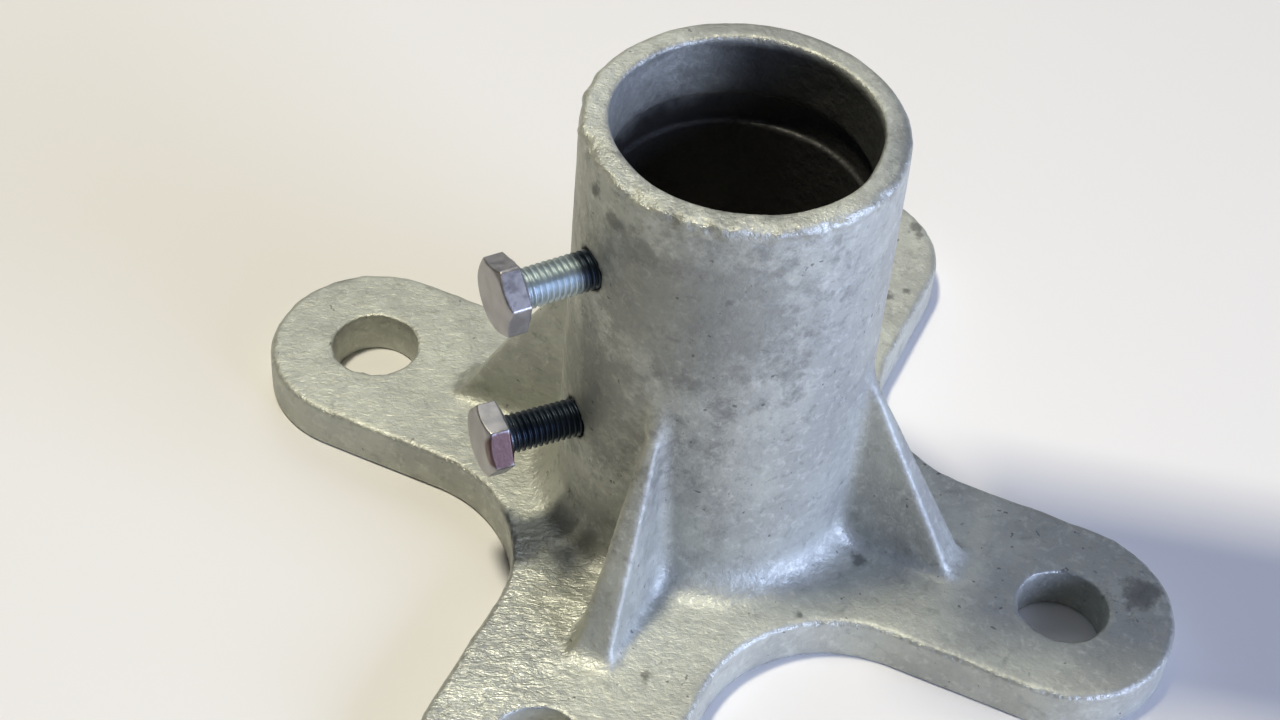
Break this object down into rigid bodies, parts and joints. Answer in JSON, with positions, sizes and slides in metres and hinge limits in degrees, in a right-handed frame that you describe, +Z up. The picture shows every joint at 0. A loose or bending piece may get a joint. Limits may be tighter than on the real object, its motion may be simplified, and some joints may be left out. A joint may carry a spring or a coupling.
{
  "type": "stanchion base",
  "caption": "Cast socket base for a deck stanchion tube, with a four-armed bolt-down flange, ribs and radial hexagon set bolts that clamp the tube.",
  "frame": {"origin": "centre of the flange's underside, on the socket's axis", "axes": "+Z up the socket; +X, +Y, -X and -Y each run along one arm of the flange, and the set bolts stand out between the -X and -Y arms"},
  "size_m": [0.258, 0.258, 0.132],
  "materials": {
    "galvanised_casting": "hot-dip galvanised, satin, with a coarse cast skin",
    "zinc_bolt": "bright zinc plate"
  },
  "bodies": {
    "base": {"base_casting": "galvanised_casting"},
    "upper_bolt": {"upper_set_bolt": "zinc_bolt"},
    "lower_bolt": {"lower_set_bolt": "zinc_bolt"}
  },
  "joints": [
    {"name": "upper_bolt_travel", "type": "slide", "parent": "base", "child": "upper_bolt", "axis": [0.6157, 0.788, 0], "range_m": [-0.0045, 0.018]},
    {"name": "lower_bolt_travel", "type": "slide", "parent": "base", "child": "lower_bolt", "axis": [0.6691, 0.7431, 0], "range_m": [-0.004, 0.0185]}
  ]
}
